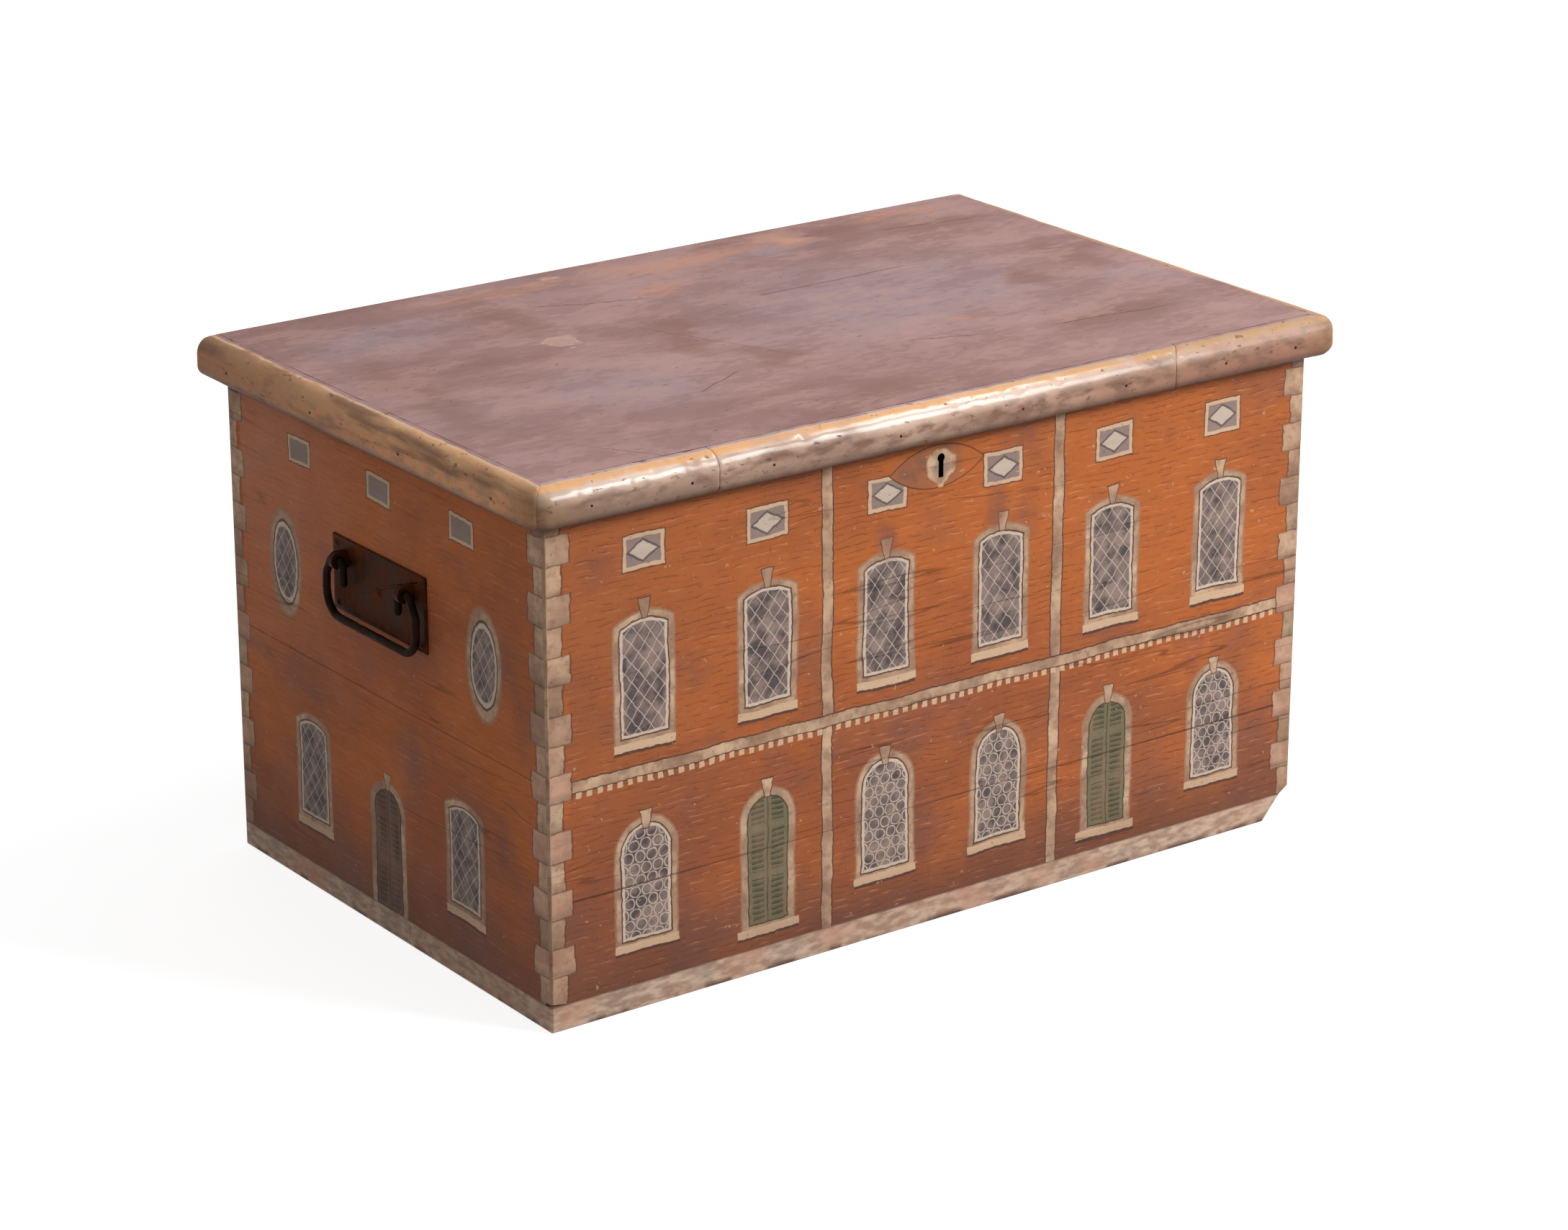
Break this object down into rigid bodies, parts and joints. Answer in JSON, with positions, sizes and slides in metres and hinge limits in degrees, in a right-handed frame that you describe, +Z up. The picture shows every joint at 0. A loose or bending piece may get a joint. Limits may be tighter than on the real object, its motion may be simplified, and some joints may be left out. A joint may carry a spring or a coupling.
{
  "type": "painted trunk",
  "caption": "Dovetailed pine blanket chest with a hinged flat lid, round lid moulding, inside lock and a swinging iron bail handle on each end.",
  "frame": {"origin": "on the ground under the middle of the case, on the flat underside of the bottom boards", "axes": "+X along the front to its right end, -Y out of the front, +Z up"},
  "size_m": [0.844, 0.531, 0.473],
  "materials": {
    "house_paint": "worn matt paint on pine",
    "patch_paint": "worn matt paint on pine",
    "foot_paint": "worn matt paint on pine",
    "lid_paint": "worn matt paint on pine",
    "moulding_paint": "worn cream paint with a dull sheen",
    "black_iron": "dark forged iron with a brown bloom"
  },
  "bodies": {
    "case": {"back_lower_board": "house_paint", "back_upper_board": "house_paint", "bottom_front_board": "foot_paint", "bottom_nails": "black_iron", "bottom_rear_board": "foot_paint", "front_lower_board": "house_paint", "front_upper_board": "house_paint", "hinge_case_screws": "black_iron", "keyhole_patch": "patch_paint", "left_end_lower_board": "house_paint", "left_end_upper_board": "house_paint", "left_handle_nails": "black_iron", "left_handle_plate": "black_iron", "left_handle_posts": "black_iron", "left_handle_roves": "black_iron", "left_hinge_case_leaf": "black_iron", "left_hinge_pin": "black_iron", "lock_cover": "black_iron", "lock_guide_studs": "black_iron", "lock_key_pin": "black_iron", "lock_plate": "black_iron", "lock_screws": "black_iron", "lock_spring": "black_iron", "right_end_lower_board": "house_paint", "right_end_upper_board": "house_paint", "right_handle_nails": "black_iron", "right_handle_plate": "black_iron", "right_handle_posts": "black_iron", "right_handle_roves": "black_iron", "right_hinge_case_leaf": "black_iron", "right_hinge_pin": "black_iron"},
    "lid": {"lid_front_board": "lid_paint", "lid_rear_board": "lid_paint", "lid_front_moulding_left": "moulding_paint", "lid_front_moulding_middle": "moulding_paint", "lid_front_moulding_right": "moulding_paint", "lid_left_moulding": "moulding_paint", "lid_right_moulding": "moulding_paint", "lid_moulding_pins": "black_iron", "left_hinge_lid_leaf": "black_iron", "right_hinge_lid_leaf": "black_iron", "hinge_lid_screws": "black_iron", "link_plate": "black_iron", "link_plate_screws": "black_iron"},
    "lock_bolt": {"lock_bolt": "black_iron"},
    "left_bail": {"left_handle_bail": "black_iron"},
    "right_bail": {"right_handle_bail": "black_iron"}
  },
  "joints": [
    {"name": "lid_hinge", "type": "hinge", "parent": "case", "child": "lid", "pos_m": [0, 0.252, 0.451], "axis": [-1, 0, 0], "range_deg": [0, 105]},
    {"name": "lock_bolt_slide", "type": "slide", "parent": "case", "child": "lock_bolt", "axis": [1, 0, 0], "range_m": [0, 0.008]},
    {"name": "left_bail_hinge", "type": "hinge", "parent": "case", "child": "left_bail", "pos_m": [-0.4105, 0, 0.326], "axis": [0, 1, 0], "range_deg": [-2, 180]},
    {"name": "right_bail_hinge", "type": "hinge", "parent": "case", "child": "right_bail", "pos_m": [0.4105, 0, 0.326], "axis": [0, -1, 0], "range_deg": [-2, 180]}
  ]
}
